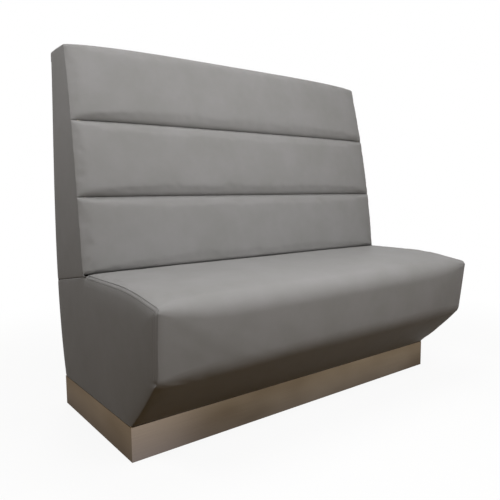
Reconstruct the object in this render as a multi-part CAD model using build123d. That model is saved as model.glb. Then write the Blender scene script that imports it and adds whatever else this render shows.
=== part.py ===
from build123d import *
import math
import os

# A fixed bench for a restaurant booth: a steel-clad plinth, an upholstered seat box with a
# cut-back front, and a tall padded back with sewn-down channels. X runs along the bench, the
# sitter faces -Y and Z is up. The origin is on the floor, under the middle of the bench.
# Sizes are in millimetres. In side views a depth is measured forwards from the rear plane.

# Overall sizes
overall_length = 1200
overall_depth = 650
overall_height = 1090
plinth_height = 90
plinth_setback = 168
seat_height = 445

# Seat, seen from the side
seat_fall_run = 150
seat_fall_angle = 10
seat_fall_radius = 900
nose_lean_angle = 6
nose_top_radius = 38
nose_end_top_radius = 22
nose_bottom_height = 240
nose_bottom_radius = 40
nose_end_bottom_radius = 16
seat_crown = 3

# Back, seen from the side: the bowed surface that its channels are sewn over
back_depth_low = 227
back_depth_high = 115
back_bow = 11
seam_rear_drop = 45
seam_front_drop = 9
channel_rise = 15
seam_rise = 5
channel_roll = 36
edge_roll = 16
edge_radius = 14

# Upholstery layers
skin = 1.5
side_foam = 8.5
slant_foam = 8.5
nose_foam = 40
deck_foam = 78.5
back_foam = 25
top_foam = 8.5
tape_height = 1
tape_width = 6
tape_gap = 4

# Boards and plates
panel = 18
board = 18
slant_board = 12
nose_board = 18
deck_board = 15
face_board = 9
rear_board = 4
rear_margin = 5
rail_height = 80
glue_block = 40
glue_block_height = 70
kick_plate = 1.2

# Fasteners
frame_screw = 4
frame_screw_length = 45
lining_screw = 3
lining_screw_length = 14
screw_clearance = 0.1
bolt = 8
bolt_clearance = 0.5
bolt_head = 13
bolt_head_height = 5
washer = 20
washer_height = 1.6
tee_nut_barrel = 11
tee_nut_flange = 22
tee_nut_sheet = 1.5
bolt_spare = 3

# Shares of the sizes that they follow
channel_seam_shares = (0.318, 0.651)
rib_shares = (-1 / 3, 1 / 3)
bolt_shares = (-0.8, -0.2, 0.2, 0.8)
lining_screw_shares = (-0.9, -0.45, 0, 0.45, 0.9)
crown_place_shares = (-1, -0.98, -0.93, -0.83, -0.6, 0, 0.6, 0.83, 0.93, 0.98, 1)
crown_power = 8
edge_turn_shares = (1, 0.75, 0.5, 0.25, 0)
rear_turn_share = 0.8
middle_share = 0.5
recess_shares = (0.25, 1.2, 0.3)

# Planes along the length, from the end of the bench inwards
half_length = overall_length / 2
side_face = half_length - tape_height
foam_face = side_face - skin
panel_face = foam_face - side_foam
bay_face = panel_face - panel
plinth_face = side_face - kick_plate
rib_places = [bay_face * share for share in rib_shares]

# Planes across the depth
rear_y = overall_depth / 2
turned_rear = rear_board + skin
rear_turn = panel * rear_turn_share

plinth_depth = overall_depth - plinth_setback
seat_flat_depth = overall_depth - seat_fall_run

# The back's seams: over the seat box, and the two channels that divide its front
back_climb = overall_height - seat_height
seam_rear_height = seat_height - seam_rear_drop
seam_front_height = seat_height - seam_front_drop
channel_seam_low, channel_seam_high = [seat_height + back_climb * share for share in channel_seam_shares]

# The seat's sharp corners. The rounded nose just reaches the overall depth.
fall = math.radians(seat_fall_angle)
lean = math.radians(nose_lean_angle)
nose_tangent = nose_top_radius * math.tan((math.pi / 2 + lean - fall) / 2)
nose_top_depth = overall_depth + nose_tangent * math.sin(lean) - nose_top_radius * (1 - math.cos(lean))
nose_top_height = seat_height - (nose_top_depth - seat_flat_depth) * math.tan(fall)
nose_bottom_depth = nose_top_depth - (nose_top_height - nose_bottom_height) * math.tan(lean)

# The circle of the bowed back surface
back_run = back_depth_low - back_depth_high
back_chord = math.hypot(back_run, back_climb)
back_radius = back_chord**2 / (8 * back_bow) + back_bow / 2
back_centre_reach = (back_radius - back_bow) / back_chord
back_centre_depth = (back_depth_low + back_depth_high) / 2 - back_centre_reach * back_climb
back_centre_height = (seat_height + overall_height) / 2 - back_centre_reach * back_run

# Heights inside
base_top = plinth_height + board
deck_height = seat_height - skin - deck_foam
deck_under = deck_height - deck_board
top_skin_under = overall_height - skin
wood_top = top_skin_under - top_foam
cap_under = wood_top - board
ledge_slope = math.atan2(seam_front_height - seam_rear_height, back_depth_low)
ledge_drop = board / math.cos(ledge_slope)


def ledge(depth):
    """Height of the sloped joint between the seat box and the back unit."""
    return seam_rear_height + depth * math.tan(ledge_slope)


def ledge_under(depth):
    """Underside of the ledge board."""
    return ledge(depth) - ledge_drop


def back_depth(height, behind=0):
    """Depth of the bowed surface, or of a layer that lies behind it."""
    return back_centre_depth + math.sqrt((back_radius - behind) ** 2 - (height - back_centre_height) ** 2)


# The seat cushion runs on under the back's foam, up to the face board
tuck_depth = back_depth(seam_rear_height, back_foam)
notch_depth = back_depth(seam_front_height)


def spot(depth, height):
    """A point of a side view."""
    return (rear_y - depth, height)


def side_view(points, radii=0):
    """A face drawn in the side view from its corners and their radii."""
    outline = FilletPolyline(*[spot(*point) for point in points], radius=radii, close=True)
    return make_face(outline)


def across(face, low, high):
    """A side view made solid between two planes along the length."""
    return extrude(Plane.YZ.offset(low) * face, amount=high - low, dir=(1, 0, 0))


def mirrored_pair(solid):
    """The same piece at the left end and at the right end."""
    return mirror(solid, about=Plane.YZ), solid


def block(along, depth, height):
    """A box between two planes each way."""
    length, width, rise = [high - low for low, high in (along, depth, height)]
    corner = (Align.MIN, Align.MIN, Align.MIN)
    return Pos(along[0], rear_y - depth[1], height[0]) * Box(length, width, rise, align=corner)


def inset(points, distances):
    """Moves each side of an outline inwards by its own distance and finds the new corners."""
    sides = []
    for start, end, distance in zip(points, points[1:] + points[:1], distances):
        run = Vector(end) - Vector(start)
        inward = Vector(-run.Y, run.X).normalized()
        sides.append((Vector(start) + inward * distance, run))
    corners = []
    for (first, first_run), (second, second_run) in zip(sides[-1:] + sides[:-1], sides):
        share = (second - first).cross(second_run).Z / first_run.cross(second_run).Z
        corner = first + first_run * share
        corners.append((corner.X, corner.Y))
    return corners


def at_height(low, high, height):
    """The point of a slanted line that lies at a height."""
    share = (height - low[1]) / (high[1] - low[1])
    return (low[0] + share * (high[0] - low[0]), height)


def keep(name, shape):
    """Writes one piece."""
    export_step(shape, f"parts/{name}.step")


os.makedirs("parts", exist_ok=True)

# Fasteners: where they go


def turned(along, depth, height, angles):
    """A place for a fastener that points along its own -Z."""
    return Location((along, rear_y - depth, height), angles)


def screw(diameter, length, slack=0):
    """A countersunk screw with its head at the origin, or with slack the hole that takes it."""
    radius = diameter / 2 + slack
    top = (Align.CENTER, Align.CENTER, Align.MAX)
    head = Cone(radius, radius * 2, radius, align=top)
    return head + Cylinder(radius, length + slack, align=top)


def cross_recess(diameter):
    """The cross cut into a screw's head."""
    width, reach, sink = [diameter * share for share in recess_shares]
    top = (Align.CENTER, Align.CENTER, Align.MAX)
    return Box(width, reach, sink, align=top) + Box(reach, width, sink, align=top)


def screw_set(places, diameter, length):
    """The screws at a list of places, and the holes that they need."""
    one = (screw(diameter, length) - cross_recess(diameter)).solid()
    hole = screw(diameter, length, screw_clearance).solid()
    return [place * one for place in places], Compound([place * hole for place in places])


# Carcass of the seat box, seen from the side. The outline is the outside of its boards.


def wood_outline(rear):
    """The boards' outer line: base, slant, nose, deck, ledge front, ledge and rear."""
    corners = [
        (tuck_depth, plinth_height),
        (plinth_depth, plinth_height),
        (nose_bottom_depth, nose_bottom_height),
        (nose_top_depth, nose_top_height),
    ]
    _, foot, low, high = inset(corners, [0, skin + slant_foam, skin + nose_foam, 0])
    return [
        (rear, plinth_height),
        foot,
        low,
        at_height(low, high, deck_height),
        (tuck_depth, deck_height),
        (tuck_depth, ledge(tuck_depth)),
        (rear, ledge(rear)),
    ]


outer = wood_outline(rear_board)
inner = inset(outer, [board, slant_board, nose_board, deck_board, board, board, board])
slant_foot = at_height(outer[1], outer[2], base_top)
nose_head = at_height(outer[2], outer[3], deck_under)
ledge_front = (tuck_depth, ledge_under(tuck_depth))
ledge_rear = (rear_board, ledge_under(rear_board))
rail_rear = (rear_board, rear_board + board)

# Places of the screws and bolts
front_block_depth = plinth_depth - kick_plate - board - glue_block / 2
rear_block_depth = board + glue_block / 2
corner_block_place = plinth_face - board - glue_block / 2
inner_block_place = rib_places[1] + (board + glue_block) / 2
block_places = [
    (along, depth)
    for along in (-corner_block_place, -inner_block_place, inner_block_place, corner_block_place)
    for depth in (front_block_depth, rear_block_depth)
]
plinth_screw_places = [turned(along, depth, base_top, (0, 0, 0)) for along, depth in block_places]

rail_middle = rear_board + board / 2
base_middle = plinth_height + board / 2
top_rail_middle = ledge_rear[1] - rail_height / 2
bottom_rail_middle = base_top + rail_height / 2
deck_middle = ((tuck_depth + outer[3][0]) / 2, deck_height - deck_board / 2)
nose_middle = [(outer[2][i] + nose_head[i] + inner[2][i] + inner[3][i]) / 4 for i in (0, 1)]
ledge_middle = (tuck_depth / 2, ledge(tuck_depth / 2) - ledge_drop / 2)
seat_end_spots = [
    (tuck_depth * middle_share, base_middle),
    (tuck_depth * (1 + middle_share), base_middle),
    deck_middle,
    nose_middle,
    ledge_middle,
    (rail_middle, top_rail_middle),
]
middle_rail_low = (channel_seam_low + channel_seam_high - rail_height) / 2
cap_middle = cap_under + board / 2
cap_screw_depth = (turned_rear + back_depth(cap_middle, back_foam + face_board)) / 2
base_screw_depth = tuck_depth * (1 - rear_turn_share)
back_base_middle = ledge(base_screw_depth) + ledge_drop / 2
back_end_spots = [
    (cap_screw_depth, cap_middle),
    (rail_middle, middle_rail_low + rail_height / 2),
    (base_screw_depth, back_base_middle),
]
lining_heights = [
    bottom_rail_middle,
    top_rail_middle,
    ledge(0) + ledge_drop / 2,
    middle_rail_low + rail_height / 2,
    cap_middle,
]
lining_places = [
    turned(bay_face * share, 0, height, (-90, 0, 0))
    for share in lining_screw_shares
    for height in lining_heights
]


def end_places(spots):
    """The same screws through the panels of both ends."""
    left = [turned(-panel_face, depth, height, (0, -90, 0)) for depth, height in spots]
    right = [turned(panel_face, depth, height, (0, 90, 0)) for depth, height in spots]
    return left + right


plinth_screws, plinth_holes = screw_set(plinth_screw_places, frame_screw, frame_screw_length)
seat_end_screws, seat_end_holes = screw_set(end_places(seat_end_spots), frame_screw, frame_screw_length)
back_end_screws, back_end_holes = screw_set(end_places(back_end_spots), frame_screw, frame_screw_length)
lining_screws, lining_holes = screw_set(lining_places, lining_screw, lining_screw_length)
keep("frame_screws", Compound(plinth_screws + seat_end_screws + back_end_screws))
keep("rear_lining_screws", Compound(lining_screws))

# Bolts that hold the back unit down on the ledge, with washers below and tee nuts above
bolt_depth = tuck_depth * middle_share
bolt_places = [
    turned(bay_face * share, bolt_depth, ledge(bolt_depth), (-math.degrees(ledge_slope), 0, 0))
    for share in bolt_shares
]


def upright(radius, low, high):
    """A round bar between two heights over the joint."""
    return Pos(0, 0, low) * Cylinder(radius, high - low, align=(Align.CENTER, Align.CENTER, Align.MIN))


washer_low = -board - washer_height
hexagon = extrude(RegularPolygon(bolt_head / 2, 6, major_radius=False), -bolt_head_height)
one_bolt = Pos(0, 0, washer_low) * hexagon + upright(bolt / 2, washer_low, board + tee_nut_sheet + bolt_spare)
one_washer = upright(washer / 2, washer_low, -board) - upright(bolt / 2 + bolt_clearance, washer_low, -board)
tee_nut_bore = upright(bolt / 2 + screw_clearance, 0, board + tee_nut_sheet)
tee_nut_body = upright(tee_nut_barrel / 2, board * middle_share, board)
one_tee_nut = tee_nut_body + upright(tee_nut_flange / 2, board, board + tee_nut_sheet) - tee_nut_bore
ledge_holes = Compound([place * upright(bolt / 2 + bolt_clearance, -board * 2, 0) for place in bolt_places])
tee_nut_holes = Compound([place * upright(tee_nut_barrel / 2, 0, board) for place in bolt_places])
keep("back_bolts", Compound([place * one_bolt for place in bolt_places]))
keep("back_bolt_washers", Compound([place * one_washer for place in bolt_places]))
keep("back_tee_nuts", Compound([place * one_tee_nut for place in bolt_places]))

# Plinth: a board frame with glue blocks, clad in steel sheet on the front and both ends
plinth_front = plinth_depth - kick_plate
plinth_rise = (0, plinth_height)
whole_plinth = (-plinth_face, plinth_face)
inner_depth = (board, plinth_front - board)
keep("plinth_front_rail", block(whole_plinth, (plinth_front - board, plinth_front), plinth_rise))
keep("plinth_rear_rail", block(whole_plinth, (0, board), plinth_rise))
end_rails = mirrored_pair(block((plinth_face - board, plinth_face), inner_depth, plinth_rise))
end_plates = mirrored_pair(block((plinth_face, side_face), (0, plinth_front), plinth_rise))
for side, end_rail, end_plate, place in zip(("left", "right"), end_rails, end_plates, rib_places):
    keep(f"plinth_{side}_rail", end_rail)
    keep(f"kick_plate_{side}", end_plate)
    keep(f"plinth_cross_rail_{side}", block((place - board / 2, place + board / 2), inner_depth, plinth_rise))
keep("kick_plate_front", block((-side_face, side_face), (plinth_front, plinth_depth), plinth_rise))


def glue_block_at(along, depth):
    """A block in the corner of two rails, under the base board."""
    half = glue_block / 2
    height = (plinth_height - glue_block_height, plinth_height)
    return block((along - half, along + half), (depth - half, depth + half), height)


glue_blocks = [glue_block_at(*place) - plinth_holes for place in block_places]
keep("plinth_glue_blocks", Compound([piece.solid() for piece in glue_blocks]))

# Seat box boards between the end panels
bay = (-bay_face, bay_face)
seat_end_panel = across(side_view(wood_outline(turned_rear)), bay_face, panel_face)
seat_end_panels = [piece - seat_end_holes for piece in mirrored_pair(seat_end_panel)]
top_rail_low = ledge_rear[1] - rail_height
top_rail_front = rail_rear[1]
top_rail_face = side_view(
    [
        (rear_board, top_rail_low),
        (top_rail_front, top_rail_low),
        (top_rail_front, ledge_under(top_rail_front)),
        ledge_rear,
    ]
)
seat_top_rail = across(top_rail_face, *bay)
seat_bottom_rail = block(bay, rail_rear, (base_top, base_top + rail_height))
base_face = side_view([outer[0], outer[1], slant_foot, (rear_board, base_top)])
slant_face = side_view([slant_foot, outer[2], inner[2], inner[1]])
nose_face = side_view([outer[2], nose_head, inner[3], inner[2]])
deck_face = side_view([nose_head, outer[3], outer[4], (tuck_depth, deck_under)])
ledge_rail_face = side_view([(tuck_depth, deck_under), ledge_front, inner[5], inner[4]])
ledge_face = side_view([ledge_front, outer[5], outer[6], ledge_rear])
keep("seat_base_board", across(base_face, *bay) - plinth_holes - seat_end_holes)
keep("seat_slant_board", across(slant_face, *bay))
keep("seat_nose_board", across(nose_face, *bay) - seat_end_holes)
keep("seat_deck_board", across(deck_face, *bay) - seat_end_holes)
keep("seat_ledge_rail", across(ledge_rail_face, *bay))
keep("seat_ledge_board", across(ledge_face, *bay) - seat_end_holes - ledge_holes)
keep("seat_rear_top_rail", seat_top_rail - seat_end_holes - lining_holes)
keep("seat_rear_bottom_rail", seat_bottom_rail - lining_holes)
rib_face = side_view(inset(outer, [board, slant_board, nose_board, deck_board, board, board, 0]))
for side, place, end_panel in zip(("left", "right"), rib_places, seat_end_panels):
    rib = across(rib_face, place - panel / 2, place + panel / 2)
    keep(f"seat_rib_{side}", rib - seat_top_rail - seat_bottom_rail)
    keep(f"seat_end_panel_{side}", end_panel)
lining_length = (rear_margin - side_face, side_face - rear_margin)
seat_lining = block(lining_length, (0, rear_board), (plinth_height, ledge(0) - rear_margin))
keep("seat_rear_lining", seat_lining - lining_holes)


# Seat upholstery: foam over the boards inside one wrap of vinyl with flat end panels


def nose_radii(closer, firmness):
    """Radii of the nose's two corners. They are tightest where the ends are sewn."""
    low = nose_bottom_radius + (nose_end_bottom_radius - nose_bottom_radius) * firmness
    high = nose_top_radius + (nose_end_top_radius - nose_top_radius) * firmness
    return [max(low - closer, 0), max(high - closer, 0)]


def seat_section(layer, firmness):
    """Side view of the cushion, drawn in over the slant, nose and top towards its sewn ends."""
    closer = layer + seat_crown * firmness
    corners = [
        (tuck_depth, plinth_height),
        (plinth_depth, plinth_height),
        (nose_bottom_depth, nose_bottom_height),
        (nose_top_depth, nose_top_height),
        (seat_flat_depth, seat_height),
        (tuck_depth, seat_height),
    ]
    radii = [0, 0, *nose_radii(closer, firmness), seat_fall_radius, 0]
    return side_view(inset(corners, [0, closer, closer, closer, closer, 0]), radii)


def seat_bulk(layer):
    """The cushion, one layer deep inside its cover: crowned between the end panels."""
    crowned = [(panel_face * share, share**crown_power) for share in crown_place_shares]
    stations = [(-foam_face, 1), *crowned, (foam_face, 1)]
    sections = [Plane.YZ.offset(place) * seat_section(layer, firmness) for place, firmness in stations]
    return loft(sections, ruled=True)


def seat_end_section(closer, rear):
    """Side view of the end of the seat box, up to the joint with the back unit."""
    corners = [
        (rear, plinth_height),
        (plinth_depth, plinth_height),
        (nose_bottom_depth, nose_bottom_height),
        (nose_top_depth, nose_top_height),
        (seat_flat_depth, seat_height),
        (notch_depth, seat_height),
        (notch_depth, ledge(notch_depth)),
        (rear, ledge(rear)),
    ]
    radii = [0, 0, *nose_radii(closer, 1), seat_fall_radius, 0, 0, 0]
    return side_view(inset(corners, [0, closer, closer, closer, closer, 0, 0, 0]), radii)


cover_bulk = seat_bulk(0)
foam_bulk = seat_bulk(skin)
cushion_depth = (tuck_depth, overall_depth)
between_panels = (-panel_face, panel_face)
back_corner = block((panel_face, foam_face), (tuck_depth, notch_depth), (deck_height, seat_height))
back_corners = mirrored_pair(back_corner)
carcass = across(side_view(outer), *between_panels)
keep("seat_cover_wrap", cover_bulk - foam_bulk - back_corners[0] - back_corners[1])
keep("seat_foam", foam_bulk & block(between_panels, cushion_depth, (deck_height, seat_height)))
for name, low, high in (
    ("nose", nose_bottom_height, deck_height),
    ("slant", plinth_height, nose_bottom_height),
):
    foam_zone = block(between_panels, cushion_depth, (low, high))
    keep(f"seat_{name}_foam", (foam_bulk & foam_zone) - carcass)

seat_side_foam = across(seat_end_section(seat_crown + skin, turned_rear), panel_face, foam_face)
turned_edge = (panel_face - rear_turn, foam_face)
seat_return = block(turned_edge, (rear_board, turned_rear), (plinth_height, ledge(rear_board)))
seat_side_cover = across(seat_end_section(seat_crown, rear_board), foam_face, side_face) + seat_return
tape_outside = seat_end_section(seat_crown + tape_gap, rear_board)
tape_inside = seat_end_section(seat_crown + tape_gap + tape_width, rear_board)
tape_zone = block((side_face, half_length), (notch_depth, overall_depth), (nose_bottom_height, seat_height))
seam_tape = across(tape_outside - tape_inside, side_face, half_length) & tape_zone
for name, solid in (
    ("seat_side_wadding", seat_side_foam),
    ("seat_side_cover", seat_side_cover),
    ("seat_seam_tape", seam_tape),
):
    left, right = mirrored_pair(solid)
    keep(f"{name}_left", left)
    keep(f"{name}_right", right)


# Back unit carcass. Its front follows the bowed surface, and it stands on the sloped ledge.


def back_arc(behind, low, high):
    """The bowed line between two heights."""
    heights = (low, (low + high) / 2, high)
    return ThreePointArc(*[spot(back_depth(height, behind), height) for height in heights])


def back_layer(front, rear, low, high):
    """Side view of a sheet that follows the bow."""
    front_arc = back_arc(front, low, high)
    rear_arc = back_arc(rear, low, high)
    ends = Line(front_arc @ 0, rear_arc @ 0) + Line(front_arc @ 1, rear_arc @ 1)
    return make_face((front_arc + rear_arc + ends).edges())


def back_core(front, rear, low, high):
    """Side view of a piece with a bowed front and an upright rear edge."""
    arc = back_arc(front, low, high)
    rest = Polyline(arc @ 1, spot(rear, high), spot(rear, low), arc @ 0)
    return make_face((arc + rest).edges())


def under_ledge(lift=0):
    """Side view of everything below the ledge, or below a line that much above it."""
    over = ledge(0) + lift
    far = ledge(overall_depth) + lift
    return side_view([(0, 0), (overall_depth, 0), (overall_depth, far), (0, over)])


wood_behind = back_foam + face_board
back_end_face = back_core(wood_behind, turned_rear, seam_rear_height, wood_top) - under_ledge()
back_end_panels = mirrored_pair(across(back_end_face, bay_face, panel_face))
back_wedge = back_core(wood_behind, rear_board, seam_rear_height, wood_top)
back_base_face = (back_wedge & under_ledge(ledge_drop)) - under_ledge()
back_middle_rail = block(bay, rail_rear, (middle_rail_low, middle_rail_low + rail_height))
cap_face = back_core(wood_behind, turned_rear, cap_under, wood_top)
back_rib_face = back_core(wood_behind, rear_board, seam_rear_height, cap_under) - under_ledge(ledge_drop)
face_board_face = back_layer(back_foam, wood_behind, seam_rear_height, wood_top) - under_ledge()
keep("back_base_board", across(back_base_face, *bay) - tee_nut_holes - back_end_holes - lining_holes)
keep("back_middle_rail", back_middle_rail - back_end_holes - lining_holes)
keep("back_cap_board", across(cap_face, *bay) - back_end_holes - lining_holes)
keep("back_face_board", across(face_board_face, *between_panels))
for side, place, end_panel in zip(("left", "right"), rib_places, back_end_panels):
    keep(f"back_rib_{side}", across(back_rib_face, place - panel / 2, place + panel / 2) - back_middle_rail)
    keep(f"back_end_panel_{side}", end_panel - back_end_holes)
back_lining = block(lining_length, (0, rear_board), (ledge(0), overall_height - rear_margin))
keep("back_rear_lining", back_lining - lining_holes)

# Back upholstery: a foam sheet, wadding on the ends and the top, and covers turned to the rear
keep("back_foam_sheet", across(back_layer(0, back_foam, seat_height, wood_top), *between_panels))
keep("back_top_wadding", across(back_core(0, turned_rear, wood_top, top_skin_under), -foam_face, foam_face))
top_return = block(bay, (rear_board, turned_rear), (wood_top - rear_turn, top_skin_under))
top_strip = across(back_core(0, rear_board, top_skin_under, overall_height), -side_face, side_face)
keep("back_cover_top_strip", top_strip + top_return - lining_holes)
back_side_wadding = across(
    back_core(0, turned_rear, seam_rear_height, wood_top) - under_ledge(), panel_face, foam_face
)
back_side_sheet = across(
    back_core(0, rear_board, seam_rear_height, top_skin_under) - under_ledge(), foam_face, side_face
)
back_side_return = block(turned_edge, (rear_board, turned_rear), (ledge(turned_rear), top_skin_under))
for name, solid in (
    ("back_side_wadding", back_side_wadding),
    ("back_side_cover", back_side_sheet + back_side_return),
):
    left, right = mirrored_pair(solid)
    keep(f"{name}_left", left)
    keep(f"{name}_right", right)

# Channels: three crowned pads, each a strip of foam under its own vinyl panel. The front edges
# roll in at the sewn-down seams and round the ends of the bench.
back_bulk = across(back_core(0, 0, seat_height, overall_height), -side_face, side_face)


def channel_bulk(low, high, low_roll, high_roll, layer):
    """A crowned pad between two seams, one layer deep inside its cover."""
    sections = []
    radius = edge_radius - layer
    for direction in (-1, 1):
        for share in edge_turn_shares[::-direction]:
            turn = share * math.pi / 2
            along = direction * (side_face - layer - radius * (1 - math.sin(turn)))
            recede = layer + radius * (1 - math.cos(turn))
            sections.append(Plane.YZ.offset(along) * channel_section(low, high, low_roll, high_roll, recede))
    return loft(sections, ruled=True)


def channel_section(low, high, low_roll, high_roll, recede):
    """Side view of a pad, moved back by a distance."""
    low_knee = low + low_roll / 2
    high_knee = high - high_roll / 2
    corners = [
        (back_depth(low) - back_foam, low),
        (back_depth(low) + seam_rise - recede, low),
        (back_depth(low_knee) + channel_rise - recede, low_knee),
        (back_depth(high_knee) + channel_rise - recede, high_knee),
        (back_depth(high) + seam_rise - recede, high),
        (back_depth(high) - back_foam, high),
    ]
    return side_view(corners, [0, 0, low_roll, high_roll, 0, 0])


channels = (
    ("bottom", seat_height, channel_seam_low, channel_roll, channel_roll),
    ("middle", channel_seam_low, channel_seam_high, channel_roll, channel_roll),
    ("top", channel_seam_high, overall_height, channel_roll, edge_roll),
)
for name, low, high, low_roll, high_roll in channels:
    cover = channel_bulk(low, high, low_roll, high_roll, 0)
    foam = channel_bulk(low, high, low_roll, high_roll, skin)
    keep(f"back_channel_foam_{name}", foam - back_bulk)
    keep(f"back_cover_{name}_panel", cover - foam - back_bulk)
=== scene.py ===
import math

import bmesh
import bpy
import numpy as np
from mathutils import Matrix, Vector, noise
from mathutils.geometry import delaunay_2d_cdt


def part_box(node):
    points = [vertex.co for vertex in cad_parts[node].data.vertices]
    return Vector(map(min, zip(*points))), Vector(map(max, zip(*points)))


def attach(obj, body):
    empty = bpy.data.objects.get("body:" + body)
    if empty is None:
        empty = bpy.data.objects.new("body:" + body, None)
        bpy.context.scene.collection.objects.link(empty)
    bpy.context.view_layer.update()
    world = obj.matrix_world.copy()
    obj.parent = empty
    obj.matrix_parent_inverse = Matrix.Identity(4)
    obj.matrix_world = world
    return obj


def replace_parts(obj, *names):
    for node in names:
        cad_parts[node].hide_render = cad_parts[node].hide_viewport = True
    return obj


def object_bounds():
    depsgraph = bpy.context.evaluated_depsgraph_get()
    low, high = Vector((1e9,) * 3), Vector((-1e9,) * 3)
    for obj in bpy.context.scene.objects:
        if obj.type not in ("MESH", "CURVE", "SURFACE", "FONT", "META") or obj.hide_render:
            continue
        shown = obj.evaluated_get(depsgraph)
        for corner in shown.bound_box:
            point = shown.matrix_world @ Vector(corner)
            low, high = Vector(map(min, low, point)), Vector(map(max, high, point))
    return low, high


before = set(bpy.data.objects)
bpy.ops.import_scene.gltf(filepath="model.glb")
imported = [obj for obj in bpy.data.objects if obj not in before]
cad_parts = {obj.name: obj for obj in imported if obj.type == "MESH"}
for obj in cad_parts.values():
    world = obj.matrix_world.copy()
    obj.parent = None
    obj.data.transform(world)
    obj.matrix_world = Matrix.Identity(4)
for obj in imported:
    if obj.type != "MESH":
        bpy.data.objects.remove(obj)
cad_low, cad_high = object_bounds()

# The camera stands in front of the bench and beyond its left end, at about the height of the
# back's lower channel, and looks a little down on the seat.
camera_place = Vector((-1.1159, -1.3154, 0.6634))
camera_turn = 0.655
camera_drop = 0.10913
camera_roll = -0.00829
camera_lens = 37.757

ahead = Vector((math.sin(camera_turn), math.cos(camera_turn), -math.tan(camera_drop))).normalized()
sideways = Vector((math.cos(camera_turn), -math.sin(camera_turn), 0))
axes = Matrix((sideways, sideways.cross(ahead), -ahead)).transposed()
camera = bpy.data.objects.new("photo_camera", bpy.data.cameras.new("photo_camera"))
camera.data.lens = camera_lens
camera.data.sensor_width = 36
camera.matrix_world = Matrix.LocRotScale(camera_place, axes @ Matrix.Rotation(camera_roll, 3, "Z"), None)
bpy.context.scene.collection.objects.link(camera)
bpy.context.scene.camera = camera
bpy.context.scene.view_settings.view_transform = "Standard"

# The stage is a pale floor that takes the bench's shadow and fades into a white surround. To the
# light that it throws back on the bench it is a warm brown floor, as under the real bench.
floor_half = 6
floor_pale = (0.86, 0.86, 0.86, 1)
floor_warm = (0.106, 0.054, 0.001, 1)
fade_start = 1.0
fade_end = 2.0
shadow_share = 0.1


def node_maker(tree):
    """Adds shader nodes to one tree: the node's kind, its settings, and what feeds its inputs."""

    def make(kind, feeds=None, **settings):
        node = tree.nodes.new(kind)
        for name, value in settings.items():
            setattr(node, name, value)
        for socket, source in (feeds or {}).items():
            target = node.inputs[socket]
            if isinstance(source, bpy.types.NodeSocket):
                tree.links.new(source, target)
            else:
                target.default_value = source
        return node

    return make


def new_material(name):
    """An empty material, the maker of its nodes and its output node."""
    material = bpy.data.materials.new(name)
    material.use_nodes = True
    material.node_tree.nodes.clear()
    make = node_maker(material.node_tree)
    return material, make, make("ShaderNodeOutputMaterial")


def object_place(make):
    """Where a point lies on the object, in metres."""
    return make("ShaderNodeTexCoord").outputs["Object"]


def combined(make, first, second, operation, kind="ShaderNodeMath"):
    """Two values or vectors brought together, such as by a product or by taking the larger value."""
    return make(kind, {0: first, 1: second}, operation=operation).outputs[0]


def mapped(make, value, given, wanted=(0.0, 1.0), interpolation_type="LINEAR"):
    """A value taken from one range to another."""
    feeds = {"Value": value, 1: given[0], 2: given[1], 3: wanted[0], 4: wanted[1]}
    return make("ShaderNodeMapRange", feeds, interpolation_type=interpolation_type).outputs[0]


def mixed(make, share, first, second, blend_type="MIX"):
    """A colour between two colours, or one colour multiplied by the other."""
    feeds = {"Factor": share, 6: first, 7: second}
    return make("ShaderNodeMix", feeds, data_type="RGBA", blend_type=blend_type).outputs[2]


def seen_rays(make):
    """1 for rays that show the surround itself: to the camera, in gloss and through glass."""
    rays = make("ShaderNodeLightPath").outputs
    gloss = combined(make, rays["Is Glossy Ray"], rays["Is Transmission Ray"], "MAXIMUM")
    return combined(make, rays["Is Camera Ray"], gloss, "MAXIMUM")


floor_finish, make, result = new_material("stage_floor")
seen = seen_rays(make)
matt = make("ShaderNodeBsdfDiffuse", {"Color": mixed(make, seen, floor_warm, floor_pale)})
reach = make("ShaderNodeVectorMath", {0: object_place(make)}, operation="LENGTH").outputs["Value"]
fade = mapped(make, reach, (fade_start, fade_end), interpolation_type="SMOOTHSTEP")
near = mapped(make, fade, (0.0, 1.0), (1 - shadow_share, 1.0))
far = combined(make, near, seen, "MULTIPLY")
glow = make("ShaderNodeEmission", {"Color": (1, 1, 1, 1), "Strength": 1.0})
blend = make("ShaderNodeMixShader", {0: far, 1: matt.outputs[0], 2: glow.outputs[0]})
floor_finish.node_tree.links.new(blend.outputs[0], result.inputs["Surface"])

floor_mesh = bpy.data.meshes.new("stage_floor")
floor_corners = [(x * floor_half, y * floor_half, 0) for x, y in ((-1, -1), (1, -1), (1, 1), (-1, 1))]
floor_mesh.from_pydata(floor_corners, [], [(0, 1, 2, 3)])
floor_mesh.materials.append(floor_finish)
floor = bpy.data.objects.new("stage_floor", floor_mesh)
bpy.context.scene.collection.objects.link(floor)

# Light: a soft lamp over the middle of the bench, three in front of it, one at each end and one
# behind it. Those at the ends don't show in the steel. The room itself gives a faint warm glow.
room_glow = (1.0, 0.86, 0.71, 1)
room_light = 0.116
lamps = {
    "overhead_lamp": {"place": (0.0, 0.0, 2.1), "size": 1.0, "power": 7.7, "mirrored": True},
    "high_front_lamp": {"place": (0.0, -1.6, 1.9), "size": 0.8, "power": 4.6, "mirrored": True},
    "front_left_lamp": {"place": (-0.5, -1.1, 1.33), "size": 0.8, "power": 9.4, "mirrored": True},
    "front_right_lamp": {"place": (0.45, -1.1, 1.33), "size": 0.8, "power": 7.6, "mirrored": True},
    "left_lamp": {"place": (-1.5, -0.1, 1.8), "size": 0.8, "power": 11.6, "mirrored": False},
    "right_lamp": {"place": (2.0, 0.35, 1.3), "size": 1.0, "power": 5.0, "mirrored": False},
    "rear_lamp": {"place": (0.4, 2.4, 1.6), "size": 1.4, "power": 30.0, "mirrored": True},
}
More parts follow.
